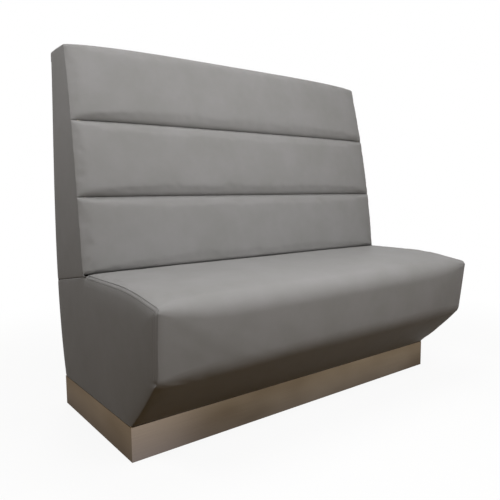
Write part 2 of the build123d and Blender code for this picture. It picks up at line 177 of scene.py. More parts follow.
lamp_aim = Vector((0.0, -0.05, 0.45))

world = bpy.data.worlds.new("plain_room")
world.use_nodes = True
world.node_tree.nodes.clear()
make = node_maker(world.node_tree)
room = make("ShaderNodeBackground", {"Color": room_glow, "Strength": room_light})
surround = make("ShaderNodeBackground", {"Color": (1, 1, 1, 1), "Strength": 1.0})
blend = make("ShaderNodeMixShader", {0: seen_rays(make), 1: room.outputs[0], 2: surround.outputs[0]})
world.node_tree.links.new(blend.outputs[0], make("ShaderNodeOutputWorld").inputs["Surface"])
bpy.context.scene.world = world

for name, lamp in lamps.items():
    light = bpy.data.lights.new(name, "AREA")
    light.shape = "DISK"
    light.size = lamp["size"]
    light.energy = lamp["power"]
    carrier = bpy.data.objects.new(name, light)
    carrier.location = lamp["place"]
    carrier.rotation_euler = (lamp_aim - carrier.location).to_track_quat("-Z", "Y").to_euler()
    carrier.visible_camera = False
    carrier.visible_glossy = lamp["mirrored"]
    bpy.context.scene.collection.objects.link(carrier)

# Softwood of the plinth: planed spruce rails and glue blocks, glued and screwed in the corners.
# Their grain is a shader group, because the plywood and the fibreboard use it too.
spruce_pale = (0.68, 0.49, 0.29, 1)
spruce_dark = (0.5, 0.32, 0.16, 1)
grain_stretch = (0.08, 1.0, 1.0)


def new_group(name, inputs, outputs):
    """An empty shader group with named sockets, the maker of its nodes, its inputs and its outputs."""
    group = bpy.data.node_groups.new(name, "ShaderNodeTree")
    for label, value in inputs.items():
        socket = group.interface.new_socket(label, in_out="INPUT", socket_type="NodeSocketFloat")
        socket.default_value = value
    for label in outputs:
        group.interface.new_socket(label, in_out="OUTPUT", socket_type="NodeSocketFloat")
    make = node_maker(group)
    return group, make, make("NodeGroupInput").outputs, make("NodeGroupOutput").inputs


def stretched_place(make, stretch):
    """Where a point lies, with each direction scaled."""
    return combined(make, object_place(make), stretch, "MULTIPLY", "ShaderNodeVectorMath")


def noisy(make, place, scale, **more):
    """Soft noise of some scale, from 0 to 1."""
    return make("ShaderNodeTexNoise", {"Vector": place, "Scale": scale, **more}).outputs["Fac"]


wood_grain, make, given, made = new_group("wood_grain", {"Rings": 60.0, "Fibre": 900.0}, ("Figure", "Pores"))
along_grain = stretched_place(make, grain_stretch)
figure = noisy(make, along_grain, given["Rings"], Detail=4.0, Distortion=0.6)
pores = noisy(make, along_grain, given["Fibre"], Detail=2.0)
wood_grain.links.new(figure, made["Figure"])
wood_grain.links.new(pores, made["Pores"])


def grouped(make, group, **values):
    """Places a shader group in a material, with its own values."""
    node = make("ShaderNodeGroup", node_tree=group)
    for label, value in values.items():
        node.inputs[label].default_value = value
    return node


def ramp(make, source, low, high, dark, pale):
    """A colour that goes from dark to pale as a value rises."""
    return mixed(make, mapped(make, source, (low, high)), dark, pale)


def surfaced(material, make, result, relief, feeds):
    """Ends a material with a Principled surface over its relief: a height, a strength, a distance."""
    bump = make("ShaderNodeBump", dict(zip(("Height", "Strength", "Distance"), relief)))
    surface = make("ShaderNodeBsdfPrincipled", {**feeds, "Normal": bump.outputs[0]})
    material.node_tree.links.new(surface.outputs[0], result.inputs["Surface"])
    return material


def wooden(name, dark, pale, rings, fibre, roughness):
    """A wood finish with its figure in the colour and its pores in the surface."""
    material, make, result = new_material(name)
    grain = grouped(make, wood_grain, Rings=rings, Fibre=fibre)
    colour = ramp(make, grain.outputs["Figure"], 0.3, 0.7, dark, pale)
    relief = (grain.outputs["Pores"], 0.25, 0.0004)
    return surfaced(material, make, result, relief, {"Base Color": colour, "Roughness": roughness})


def finish_nodes(material, *names):
    """Gives CAD nodes their material."""
    for name in names:
        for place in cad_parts[name].material_slots:
            place.link = "OBJECT"
            place.material = material


spruce = wooden("spruce", spruce_dark, spruce_pale, rings=55.0, fibre=800.0, roughness=0.62)
for place in ("front_rail", "rear_rail", "left_rail", "right_rail", "cross_rail_left", "cross_rail_right"):
    finish_nodes(spruce, f"plinth_{place}")
finish_nodes(spruce, "plinth_glue_blocks")

# Kick plates: brushed stainless sheet, glued round the plinth, the front one over the ends of the
# side ones. The brushing runs level. The broad soft warm clouds are a painted reflection of the
# floor, the foot is painted darker and cooler as shade and the top warmer as reflection, and the
# front one has a painted highlight beside its left corner.
# Colours of the painted warm reflection of the floor in the steel.
steel_painted_reflection_pale = (0.165, 0.13, 0.095, 1)
steel_painted_reflection_dark = (0.105, 0.078, 0.053, 1)
# Colour of the painted highlight beside the front plate's left corner.
steel_painted_highlight = (0.235, 0.19, 0.158, 1)
# Painted shade at the foot of the plates and painted warm reflection at their top, multiplied into the
# colour.
steel_foot_painted_shade = (0.8, 0.82, 0.88, 1)
steel_top_painted_reflection = (1.2, 1.17, 1.08, 1)
steel_rim_tint = (0.52, 0.49, 0.47, 1)
streak_dark = (0.84, 0.84, 0.84, 1)
streak_pale = (1.1, 1.1, 1.1, 1)
stroke_stretch = (6.0, 6.0, 2600.0)
cloud_stretch = (1.0, 1.0, 2.2)
plate_height = 0.09
painted_highlight_start = -0.6
painted_highlight_end = -0.3
plate_edge = 0.0004

brushing, make, given, made = new_group("brushing", {"Lines": 1.0, "Clouds": 3.0}, ("Strokes", "Cloud"))
strokes = noisy(make, stretched_place(make, stroke_stretch), given["Lines"], Detail=3.0)
clouds = noisy(make, stretched_place(make, cloud_stretch), given["Clouds"], Detail=2.0)
brushing.links.new(strokes, made["Strokes"])
brushing.links.new(clouds, made["Cloud"])

brushed_steel, make, result = new_material("brushed_steel")
brushed = grouped(make, brushing, Lines=1.0, Clouds=3.2)
# Painted reflection: warm brown clouds in the base colour stand for the warm floor reflected in the steel.
painted_reflection_clouds = ramp(make, brushed.outputs["Cloud"], 0.3, 0.68, steel_painted_reflection_dark, steel_painted_reflection_pale)
streak = ramp(make, brushed.outputs["Strokes"], 0.25, 0.75, streak_dark, streak_pale)
place = make("ShaderNodeSeparateXYZ", {0: object_place(make)}).outputs
# Painted light: the colour is darker and cooler at the foot and warmer and lighter towards the top.
painted_light_climb = ramp(make, place["Z"], 0.0, plate_height, steel_foot_painted_shade, steel_top_painted_reflection)
# Painted highlight: the front plate is paler beside its left corner, on the faces that look forward.
near_corner = mapped(make, place["X"], (painted_highlight_start, painted_highlight_end), (1.0, 0.0), "SMOOTHSTEP")
facing = make("ShaderNodeSeparateXYZ", {0: make("ShaderNodeNewGeometry").outputs["Normal"]}).outputs["Y"]
faces_front = make("ShaderNodeMath", {0: facing, 1: -1.0}, operation="MULTIPLY", use_clamp=True)
painted_highlight_share = combined(make, near_corner, faces_front.outputs[0], "MULTIPLY")
with_painted_highlight = mixed(make, painted_highlight_share, painted_reflection_clouds, steel_painted_highlight)
shaded = mixed(make, 1.0, with_painted_highlight, painted_light_climb, "MULTIPLY")
colour = mixed(make, 1.0, shaded, streak, "MULTIPLY")
dullness = mapped(make, brushed.outputs["Strokes"], (0.0, 1.0), (0.3, 0.44))
steel_feeds = {
    "Base Color": colour,
    "Metallic": 1.0,
    "Specular Tint": steel_rim_tint,
    "Roughness": dullness,
}
surfaced(brushed_steel, make, result, (brushed.outputs["Strokes"], 0.08, 0.0002), steel_feeds)


def add_piece(name, mesh, material):
    """Puts a mesh in the scene as a piece of the bench."""
    mesh.materials.clear()
    mesh.materials.append(material)
    piece = bpy.data.objects.new(name, mesh)
    bpy.context.scene.collection.objects.link(piece)
    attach(piece, "root")
    return piece


def eased_copy(name, node, material, easing):
    """A piece with a CAD node's form and its edges eased."""
    piece = add_piece(name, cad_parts[node].data.copy(), material)
    soften = piece.modifiers.new("eased edges", "BEVEL")
    soften.width = easing
    soften.segments = 2
    soften.limit_method = "ANGLE"
    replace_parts(piece, node)
    return piece


for place in ("front", "left", "right"):
    node = f"kick_plate_{place}"
    eased_copy(f"steel_{node}", node, brushed_steel, plate_edge)

# Carcass of the seat box and of the back unit: birch plywood boards, ribs and shaped end panels,
# screwed together, with spruce rails along the rear.
birch_pale = (0.72, 0.55, 0.35, 1)
birch_dark = (0.6, 0.42, 0.24, 1)
birch_ply = wooden("birch_plywood", birch_dark, birch_pale, rings=18.0, fibre=1100.0, roughness=0.55)
boards = {
    "seat": ("base_board", "slant_board", "nose_board", "deck_board", "ledge_board", "ledge_rail"),
    "back": ("base_board", "cap_board", "face_board"),
}
for unit, kinds in boards.items():
    sided = [f"{kind}_{side}" for kind in ("rib", "end_panel") for side in ("left", "right")]
    finish_nodes(birch_ply, *[f"{unit}_{kind}" for kind in (*kinds, *sided)])
finish_nodes(spruce, "seat_rear_top_rail", "seat_rear_bottom_rail", "back_middle_rail")

# Fasteners: zinc-plated screws in the plinth, the end panels and the rear linings, and the bolts,
# washers and tee nuts that hold the back unit on the ledge of the seat box.
zinc_pale = (0.72, 0.72, 0.7, 1)
zinc_dull = (0.52, 0.5, 0.44, 1)
zinc_plate, make, result = new_material("zinc_plate")
mottle = noisy(make, object_place(make), 420.0, Detail=3.0)
colour = ramp(make, mottle, 0.3, 0.7, zinc_dull, zinc_pale)
zinc_feeds = {"Base Color": colour, "Metallic": 1.0, "Roughness": 0.34}
surfaced(zinc_plate, make, result, (mottle, 0.1, 0.0002), zinc_feeds)
finish_nodes(zinc_plate, "frame_screws", "rear_lining_screws")
finish_nodes(zinc_plate, "back_bolts", "back_bolt_washers", "back_tee_nuts")

# Rear linings: thin black-stained hardboard, screwed over the open rear of both units. They cover
# the raw edges of the vinyl, which is turned round the end panels and down behind the top. The
# upper one is a little lower than the CAD board, because the bowed top is lower at its ends.
board_black = (0.022, 0.021, 0.02, 1)
board_worn = (0.045, 0.043, 0.041, 1)
lining_top_drop = 0.0135
hardboard = wooden("black_hardboard", board_black, board_worn, rings=240.0, fibre=2400.0, roughness=0.7)
finish_nodes(hardboard, "seat_rear_lining")
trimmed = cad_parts["back_rear_lining"].data.copy()
for corner in trimmed.vertices:
    corner.co.z = min(corner.co.z, cad_high.z - lining_top_drop)
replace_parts(add_piece("upper_rear_lining", trimmed, hardboard), "back_rear_lining")

# Foam and wadding under the vinyl: cut foam blocks glued to the boards, with eased edges, and
# thin fibre wadding over the ends and the top.
foam_cream = (0.78, 0.7, 0.5, 1)
foam_shade = (0.68, 0.58, 0.38, 1)
wadding_white = (0.84, 0.84, 0.82, 1)
wadding_shade = (0.7, 0.7, 0.69, 1)
foam_edge = 0.003


def spongy(name, dark, pale, cell, stretch):
    """An open-celled or fibrous finish."""
    material, make, result = new_material(name)
    cells = make("ShaderNodeTexVoronoi", {"Vector": stretched_place(make, stretch), "Scale": 1 / cell})
    stain = noisy(make, object_place(make), 25.0, Detail=3.0)
    colour = ramp(make, stain, 0.3, 0.7, dark, pale)
    feeds = {"Base Color": colour, "Roughness": 0.9, "Sheen Weight": 0.2}
    return surfaced(material, make, result, (cells.outputs["Distance"], 0.5, cell), feeds)


foam_finish = spongy("cut_foam", foam_shade, foam_cream, cell=0.0012, stretch=(1.0, 1.0, 1.0))
wadding_finish = spongy("fibre_wadding", wadding_shade, wadding_white, cell=0.002, stretch=(0.3, 1.0, 1.0))

# Pull and filling of the covers: the back is sewn taut, so its level seams and its top bow up a
# little between the ends, and the stuffed ends of the bench bulge out a little at half its height.
seat_box_low, seat_box_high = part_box("seat_cover_wrap")
middle_low, middle_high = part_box("back_cover_middle_panel")
rear_y = cad_high.y
seat_top = seat_box_high.z
back_top = cad_high.z
end_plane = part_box("back_side_cover_right")[1].x
# The lift of each seam in the middle of the bench, and how much lower the seam ends than that.
seam_bows = {
    seat_top: (-0.004, 0.0),
    middle_low.z: (0.005, 0.001),
    middle_high.z: (0.0065, 0.0035),
    back_top: (0.005, 0.013),
}
bow_power = 4.2
end_swell = 0.012
swell_slant = 0.7
swell_reach = 0.1


def bowed(x, z):
    """Height of a point of the back once its cover is pulled taut."""
    anchors = sorted(seam_bows)
    fall = np.abs(np.asarray(x) / end_plane) ** bow_power
    lifts = [seam_bows[anchor][0] - seam_bows[anchor][1] * fall for anchor in anchors]
    z = np.asarray(z, float)
    lift = np.zeros(np.broadcast(fall, z).shape)
    for low, high, lift_low, lift_high in zip(anchors, anchors[1:], lifts, lifts[1:]):
        share = np.clip((z - low) / (high - low), 0, 1)
        lift = np.where(z >= low, lift_low + (lift_high - lift_low) * share, lift)
    return z + lift


def swollen(spots):
    """Points of a cover with its stuffed ends bulging out a little at half the bench's height."""
    spots = np.array(spots, float)
    share = np.clip((spots[..., 2] - seat_box_low.z) / (back_top - seat_box_low.z), 0, 1) ** swell_slant
    near_end = np.clip(1 - (end_plane - np.abs(spots[..., 0])) / swell_reach, 0, 1.2) ** 2
    spots[..., 0] += np.sign(spots[..., 0]) * end_swell * near_end * (4 * share * (1 - share)) ** 1.5
    return spots


def soft_copy(node, material, held, gap):
    """A soft piece of a CAD node's form, pressed in by a gap from the sides on which nothing holds it."""
    pad = eased_copy(f"soft_{node}", node, material, foam_edge)
    spots = np.array([corner.co for corner in pad.data.vertices])
    low, high = spots.min(0), spots.max(0)
    anchor = low + (high - low) * (np.array(held) + 1) / 2
    spots = anchor + (spots - anchor) * (1 - np.array(gap) / (high - low))
    if node.startswith("back"):
        spots[:, 2] = bowed(spots[:, 0], spots[:, 2])
    pad.data.vertices.foreach_set("co", spots.astype(np.float32).ravel())


sheet_gap = (0.004, 0.001, 0.004)
top_wadding_gap = (0.012, 0.004, 0.003)
side_wadding_gap = (0.0045, 0.008, 0.008)
soft_copy("back_foam_sheet", foam_finish, (0, 1, 0), sheet_gap)
soft_copy("back_top_wadding", wadding_finish, (0, 1, -1), top_wadding_gap)
for unit in ("seat", "back"):
    for held, side in ((1, "left"), (-1, "right")):
        node = f"{unit}_side_wadding_{side}"
        soft_copy(node, wadding_finish, (held, 0, 0), side_wadding_gap)

# Vinyl: a smooth mid-grey upholstery vinyl on a knitted backing, with a fine leather grain and a
# soft sheen. It is the cover of every soft part of the bench.
vinyl_grey = (0.264, 0.26, 0.26, 1)
vinyl_shade = (0.238, 0.236, 0.231, 1)
vinyl_thickness = 0.0015
foam_gap = 0.0026
foam_end_gap = 0.02
settle_frames = 20
grain_wander = (0.0012, 0.0012, 0.0012)
grain_inputs = {"Cells": 900.0, "Patches": 9.0}

leather_grain, make, given, made = new_group("leather_grain", grain_inputs, ("Relief", "Tone"))
drift = make("ShaderNodeTexNoise", {"Vector": object_place(make), "Scale": 260.0, "Detail": 2.0})
bend = combined(make, drift.outputs["Color"], grain_wander, "MULTIPLY", "ShaderNodeVectorMath")
wandering = combined(make, object_place(make), bend, "ADD", "ShaderNodeVectorMath")
cell_feeds = {"Vector": wandering, "Scale": given["Cells"]}
cells = make("ShaderNodeTexVoronoi", cell_feeds, feature="SMOOTH_F1")
patches = noisy(make, object_place(make), given["Patches"], Detail=5.0, Roughness=0.6)
leather_grain.links.new(cells.outputs["Distance"], made["Relief"])
leather_grain.links.new(patches, made["Tone"])

vinyl, make, result = new_material("grey_vinyl")
grain = grouped(make, leather_grain, Cells=850.0, Patches=9.0)
colour = ramp(make, grain.outputs["Tone"], 0.3, 0.7, vinyl_shade, vinyl_grey)
vinyl_feeds = {
    "Base Color": colour,
    "Roughness": mapped(make, grain.outputs["Tone"], (0.0, 1.0), (0.42, 0.5)),
    "Specular IOR Level": 0.013,
    "Sheen Weight": 0.02,
    "Sheen Roughness": 0.5,
}
surfaced(vinyl, make, result, (grain.outputs["Relief"], 0.12, 0.0005), vinyl_feeds)


def vinyl_shape(name, corners, faces):
    """A smooth piece of vinyl that follows the bulge of the stuffed ends."""
    mesh = bpy.data.meshes.new(name)
    mesh.from_pydata(swollen(corners).tolist(), [], faces)
    mesh.shade_smooth()
    return add_piece(name, mesh, vinyl)


def vinyl_panel(name, corners, faces, *replaced):
    """A vinyl panel with its thickness to the inside, in place of CAD nodes."""
    piece = vinyl_shape(name, corners, faces)
    sheet = piece.modifiers.new("thickness", "SOLIDIFY")
    sheet.thickness = vinyl_thickness
    sheet.offset = -1
    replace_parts(piece, *replaced)
    return piece


def grid_panel(name, grid, node):
    """A vinyl panel through a grid of points, in place of a CAD node."""
    return vinyl_panel(name, grid.reshape(-1, 3), grid_faces(*grid.shape[:2]), node)


def settled(grid, cap, slack):
    """A grid of cover points after a short cloth simulation: its rim is sewn down, the filling pushes."""
    held = np.ones(grid.shape[:2], bool)
    held[1:-1, 1:-1] = False
    scene = bpy.context.scene
    mesh = bpy.data.meshes.new("cover_trial")
    mesh.from_pydata(grid.reshape(-1, 3).tolist(), [], grid_faces(*grid.shape[:2]))
    trial = bpy.data.objects.new("cover_trial", mesh)
    scene.collection.objects.link(trial)
    seams = trial.vertex_groups.new(name="seams")
    seams.add(np.flatnonzero(held).tolist(), 1.0, "REPLACE")
    cloth = trial.modifiers.new("cover", "CLOTH").settings
    cloth.quality = 6
    cloth.mass = 0.4
    cloth.tension_stiffness = 20
    cloth.compression_stiffness = 20
    cloth.shear_stiffness = 12
    cloth.bending_stiffness = 1.5
    cloth.vertex_group_mass = "seams"
    cloth.shrink_min = -slack
    cloth.use_pressure = True
    cloth.uniform_pressure_force = 4
    cloth.effector_weights.gravity = 0
    for number in range(1, settle_frames + 1):
        scene.frame_set(number)
    shape = trial.evaluated_get(bpy.context.evaluated_depsgraph_get()).data
    after = np.empty(len(shape.vertices) * 3, np.float32)
    shape.vertices.foreach_get("co", after)
    bpy.data.objects.remove(trial)
    bpy.data.meshes.remove(mesh)
    scene.frame_set(1)
    move = after.reshape(grid.shape) - grid
    length = np.maximum(np.linalg.norm(move, axis=2, keepdims=True), 1e-9)
    return grid + move * (cap * np.tanh(length / cap) / length)


def grid_faces(rows, columns):
    """Quads between the points of a grid, facing outwards when rows run forwards and columns run along X."""
    number = np.arange(rows * columns).reshape(rows, columns)
    quads = np.stack([number[:-1, :-1], number[1:, :-1], number[1:, 1:], number[:-1, 1:]], -1)
    return quads.reshape(-1, 4).tolist()


def foam_under(name, cover, facing, behind, *replaced):
    """Foam between a cover and the boards behind it, whose (y, z) points run on from the cover's last row."""
    fitting = np.abs(cover[0, :, 0]) < end_plane - foam_end_gap
    outer = (cover - facing * foam_gap)[:, fitting]
    behind = [np.broadcast_to(np.asarray(spot), (outer.shape[1], 2)) for spot in behind]
    inner = [np.concatenate([outer[0, :, :1], spots], 1)[None] for spots in behind]
    ring = np.concatenate([outer] + inner)
    rows, columns = ring.shape[:2]
    number = np.arange(rows * columns).reshape(rows, columns)
    faces = [[corner % number.size for corner in quad] for quad in grid_faces(rows + 1, columns)]
    faces += [number[::-1, 0].tolist(), number[:, -1].tolist()]
    mesh = bpy.data.meshes.new(name)
    mesh.from_pydata(ring.reshape(-1, 3).tolist(), [], faces)
    piece = add_piece(name, mesh, foam_finish)
    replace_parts(piece, *replaced)


# Seat cover: one vinyl panel over the cushion, round the nose, down the front and back under the
# slant to the plinth. It is crowned between the ends and sewn there to flat end panels.
tuck_drop = 0.008
tuck_end = 0.252
tuck_radius = 0.02
seat_flat_depth = 0.5
fall_angle = math.radians(9)
fall_radius = 0.9
lean_angle = math.radians(6)
nose_top_radii = (0.054, 0.017)
nose_low_radii = (0.09, 0.035)
nose_low_height = 0.24
nose_corner_reach = 0.004
nose_corner_rise = 0.004
least_radius = 0.004
slant_bulge = 0.004
seat_crown = 0.0015
# Each hem has the reach and depth of its tight fold, then those of the wide dip beside it.
top_hem = (0.0035, 0.0045, 0.014, 0.009)
nose_hem = (0.0035, 0.003, 0.016, 0.006)
slant_hem = (0.002, 0.0004, 0.014, 0.003)
seam_plane = end_plane - nose_hem[3]
wrap_roll_width = 0.016
wrap_roll_height = 0.0035
wrap_steps = 7
crown_power = 8
plinth_low, plinth_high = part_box("kick_plate_front")
tuck_depth = rear_y - seat_box_high.y
plinth_depth = rear_y - plinth_low.y
full_depth = rear_y - cad_low.y

nose_depth = full_depth + nose_corner_reach
nose_height = seat_top - (nose_depth - seat_flat_depth) * math.tan(fall_angle)
low_depth = nose_depth - (nose_height - nose_low_height) * math.tan(lean_angle)
seat_corners = [
    (tuck_depth, seat_top - tuck_drop),
    (tuck_end, seat_top),
    (seat_flat_depth, seat_top),
    (nose_depth, nose_height),
    (low_depth, nose_low_height),
    (plinth_depth, plinth_high.z),
]
seat_rise = 0.0009
seat_slack = 0.002
seat_runs = (4, 18, 6, 14, 16)
seat_arcs = (4, 8, 14, 14)
length_stations = 121
seat_waves = ((7.0, 3.1, 0.0009), (26.0, 8.7, 0.0003))
wave_reach = 0.03


def moved_in(corners, distance):
    """An open line of corners moved in by a distance."""
    corners = [Vector(corner) for corner in corners]
    runs = [(end - start).normalized() for start, end in zip(corners, corners[1:])]
    inward = [Vector((-run.y, run.x)) * -1 for run in runs]
    shifted = [corners[0] + inward[0] * distance]
    for corner, before, after in zip(corners[1:], inward, inward[1:]):
        half = (before + after).normalized()
        shifted.append(corner + half * (distance / half.dot(before)))
    shifted.append(corners[-1] + inward[-1] * distance)
    return shifted


def rounded_line(corners, radii, runs, arcs):
    """Points along a line with rounded corners: so many on each straight run and on each arc."""
    spots = []
    start = corners[0]
    for number, radius in enumerate(radii):
        corner, after = corners[number + 1], corners[number + 2]
        into = (corner - corners[number]).normalized()
        out = (after - corner).normalized()
        turn = into.angle(out)
        reach = radius * math.tan(turn / 2)
        arc_start = corner - into * reach
        arc_end = corner + out * reach
        spots += [start.lerp(arc_start, step / runs[number]) for step in range(runs[number])]
        centre = corner + (out - into).normalized() * (radius / math.cos(turn / 2))
        for step in range(arcs[number]):
            share = step / arcs[number] * turn
            arm = (arc_start - centre) * math.cos(share) + into * radius * math.sin(share)
            spots.append(centre + arm)
        start = arc_end
    spots += [start.lerp(corners[-1], step / runs[-1]) for step in range(runs[-1] + 1)]
    return np.array([tuple(spot) for spot in spots])


def cover_column(x, depths, heights):
    """Points of a cover at one place along the bench, by their depths from the rear and heights."""
    return np.stack([np.full(len(depths), x), rear_y - depths, heights], 1)


def unevenness(spots, waves):
    """Gentle waves of a taut cover at some points. Each kind of wave has a scale, a seed and a height."""
    total = 0.0
    for scale, seed, height in waves:
        shift = Vector((seed, seed, seed))
        total = total + height * np.array([noise.noise(Vector(spot) * scale + shift) for spot in spots])
    return total


def waved(grid, facing, waves, slack):
    """A grid of cover points with gentle waves wherever the cover is slack."""
    lift = unevenness(grid.reshape(-1, 3), waves).reshape(grid.shape[:2])
    return grid + facing * (lift * slack)[..., None]


def outward(grid):
    """Directions out of a grid of points whose rows run forwards and whose columns run along X."""
    down = np.gradient(grid, axis=0)
    along = np.gradient(grid, axis=1)
    normal = np.cross(down, along)
    return normal / np.maximum(np.linalg.norm(normal, axis=2, keepdims=True), 1e-9)


def end_stations(half, roll, steps, inner):
    """Places along the length with how far the end has been rolled in: 0 on top, 1 at the seam."""
    places = [(share * (half - roll), 0.0) for share in inner]
    turns = [step / steps * math.pi / 2 for step in range(1, steps + 1)]
    rolled = [(half - roll * (1 - math.sin(turn)), 1 - math.cos(turn)) for turn in turns]
    return [(-x, r) for x, r in reversed(rolled)] + places + rolled


def line_distance(spots, line):
    """How far each point lies from an open line of (y, z) points."""
    spots = np.asarray(spots)[:, None, :]
    starts = np.asarray(line)[None, :-1, :]
    runs = np.asarray(line)[None, 1:, :] - starts
    share = ((spots - starts) * runs).sum(2) / np.maximum((runs**2).sum(2), 1e-15)
    nearest = starts + runs * np.clip(share, 0, 1)[..., None]
    return np.linalg.norm(spots - nearest, axis=2).min(1)


def hem_drop(distance, hem):
    """How far a stuffed panel falls in towards an edge with one kind of hem."""
    reach, depth, wide_reach, wide_depth = hem
    tight = np.clip(1 - distance / reach, 0, 1)
    return depth * (1 - np.sqrt(1 - tight**2)) + wide_depth * np.exp(-distance / wide_reach)


slant_run = Vector(seat_corners[-1]) - Vector(seat_corners[-2])
slant_outward = np.array((-slant_run.y, slant_run.x)) / slant_run.length
slant_share = np.linspace(0, 1, seat_runs[-1] + 1)
slant_swell = slant_bulge * 4 * slant_share * (1 - slant_share)


def wrap_column(x, rolled):
    """Points of the seat cover at one place along the bench, from under the back to the plinth."""
    firm = abs(x / seam_plane) ** crown_power
    closer = seat_crown * firm + wrap_roll_height * rolled
    nose_radii = [free + (held - free) * firm - closer for free, held in (nose_top_radii, nose_low_radii)]
    radii = (tuck_radius, fall_radius, *[max(radius, least_radius) for radius in nose_radii])
    line = rounded_line(moved_in(seat_corners, closer), radii, seat_runs, seat_arcs)
    line[-len(slant_swell) :] += slant_swell[:, None] * slant_outward
    return cover_column(x, line[:, 0], line[:, 1])


inner_shares = np.linspace(-1, 1, length_stations)
wrap_stations = end_stations(seam_plane, wrap_roll_width, wrap_steps, inner_shares)
wrap_grid = np.stack([wrap_column(x, rolled) for x, rolled in wrap_stations], 1)
wrap_edge = wrap_grid[:, -1, 1:]
nose_start = int(np.argmax(wrap_edge[:, 1] < nose_height - nose_top_radii[1] / 2))
nose_end = int(np.argmax(wrap_edge[:, 1] < nose_low_height + nose_corner_rise))
sewn_lines = [
    (wrap_edge[: nose_start + 1], top_hem),
    (wrap_edge[nose_start : nose_end + 1], nose_hem),
    (wrap_edge[nose_end:], slant_hem),
]
insets = [hem[3] * np.exp(-line_distance(wrap_edge, line) / hem[2]) for line, hem in sewn_lines]
wrap_grid[..., 0] *= ((end_plane - np.max(insets, axis=0)) / seam_plane)[:, None]
facing = outward(wrap_grid)
slack = np.clip((seam_plane - np.abs(wrap_grid[..., 0])) / wave_reach, 0, 1)
wrap_grid = waved(wrap_grid, facing, seat_waves, slack)
wrap_grid = settled(wrap_grid, seat_rise, seat_slack)
wrap = grid_panel("vinyl_seat_cover", wrap_grid, "seat_cover_wrap")

deck_low, deck_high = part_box("seat_foam")
nose_low, nose_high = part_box("seat_nose_foam")
slant_low, slant_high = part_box("seat_slant_foam")
middle_heights = wrap_grid[:, wrap_grid.shape[1] // 2, 2]
deck_row = int(np.argmax(middle_heights < deck_low.z))
nose_row = int(np.argmax(middle_heights < nose_low.z))
nose_foot = (nose_high.y, nose_low.z)
foams = (
    ("seat_foam", 0, deck_row, [(deck_high.y, deck_low.z)]),
    ("seat_nose_foam", deck_row, nose_row, [nose_foot, (nose_high.y, deck_low.z)]),
    ("seat_slant_foam", nose_row, len(wrap_grid) - 1, [(slant_high.y, slant_low.z), nose_foot]),
)
for node, first, last, behind in foams:
    rows = slice(first, last + 1)
    foam_under(f"soft_{node}", wrap_grid[rows], facing[rows], behind, node)

# End panels of the seat: flat vinyl pulled over thin wadding, sewn to the wrap along the top, the
# nose and the slant, and turned round the rear edge.
notch_depth = 0.232
ledge_rear_height = 0.4
ledge_front_height = 0.436
plain_hem = (0.0015, 0.001, 0.01, 0.0)
joint_hem = (0.003, 0.0022, 0.006, 0.0008)
fold_hem = (0.002, 0.0004, 0.01, 0.0)
panel_rings = (0.0005, 0.0012, 0.002, 0.003, 0.005, 0.008, 0.0115, 0.016, 0.022, 0.03)
ring_share = 0.97
panel_cell = 0.013
cell_share = 0.6
panel_step = 0.006
# Each kind of wave has its scale, its step from the panel's seed and its height.
panel_waves = ((9.0, 0, 0.001), (30.0, 2, 0.0003))
panel_wave_reach = 0.04
fold_radius = 0.0008
turned_edge = 0.014
lining = 0.0045
plinth_gap = 0.0005
bulge_reach = 0.06
seat_end_bulge = 0.003


def even_line(corners, step):
    """The same open line with points at most a step apart."""
    spots = []
    for start, end in zip(np.array(corners[:-1]), np.array(corners[1:])):
        count = max(1, int(np.ceil(np.linalg.norm(end - start) / step)))
        spots += [start + (end - start) * number / count for number in range(count)]
    return np.array(spots + [np.array(corners[-1])])


def turned(face, side):
    """A face of the left end, or of the right end with its points the other way round."""
    return face if side < 0 else face[::-1]


def panel_outline(hems):
    """The corners that the lines of some hems go round, with the inside on their left."""
    outline = np.concatenate([line[:-1] for line, hem in hems])
    ahead = np.roll(outline, -1, axis=0)
    if np.sum(outline[:, 0] * ahead[:, 1] - ahead[:, 0] * outline[:, 1]) < 0:
        outline = outline[::-1]
    return outline


def panel_spots(outline, closed):
    """Points in an outline and on it: rings along its edge and an even grid further in."""
    run = np.roll(outline, -1, axis=0) - np.roll(outline, 1, axis=0)
    inward = np.stack([-run[:, 1], run[:, 0]], 1) / np.linalg.norm(run, axis=1, keepdims=True)
    spots = [outline]
    for ring in panel_rings:
        moved = outline + inward * ring
        spots.append(moved[line_distance(moved, closed) > ring * ring_share])
    low, high = outline.min(0), outline.max(0)
    ys, zs = np.meshgrid(np.arange(low[0], high[0], panel_cell), np.arange(low[1], high[1], panel_cell))
    inner = np.stack([ys.ravel(), zs.ravel()], 1)
    spots.append(inner[line_distance(inner, closed) > panel_rings[-1] + panel_cell * cell_share])
    return [Vector(spot) for spot in np.concatenate(spots)]


def panel_swell(flat, closed, bulge, seed):
    """How far the filling pushes each point of a panel out, with gentle waves away from its edge."""
    inside = line_distance(flat, closed)
    places = np.stack([np.zeros(len(flat)), flat[:, 0], flat[:, 1]], 1)
    wave = unevenness(places, [(scale, seed + shift, height) for scale, shift, height in panel_waves])
    return bulge * (1 - np.exp(-inside / bulge_reach)) + wave * np.clip(inside / panel_wave_reach, 0, 1)


def rear_fold(outline, side, first):
    """Corners and faces of a panel's rear edge, which is turned in behind the end of the bench."""
    rear_rim = outline[np.abs(outline[:, 0] - (rear_y - lining)) < 1e-5]
    rear_rim = rear_rim[np.argsort(rear_rim[:, 1])]
    fold = ((plain_hem[1], 0.0), (plain_hem[1] + fold_radius, fold_radius), (turned_edge, fold_radius))
    corners = [(side * (end_plane - reach), y + back, z) for reach, back in fold for y, z in rear_rim]
    count = len(rear_rim)
    starts = [first + row * count + number for row in range(len(fold) - 1) for number in range(count - 1)]
    return corners, [turned([a, a + 1, a + count + 1, a + count], side) for a in starts]


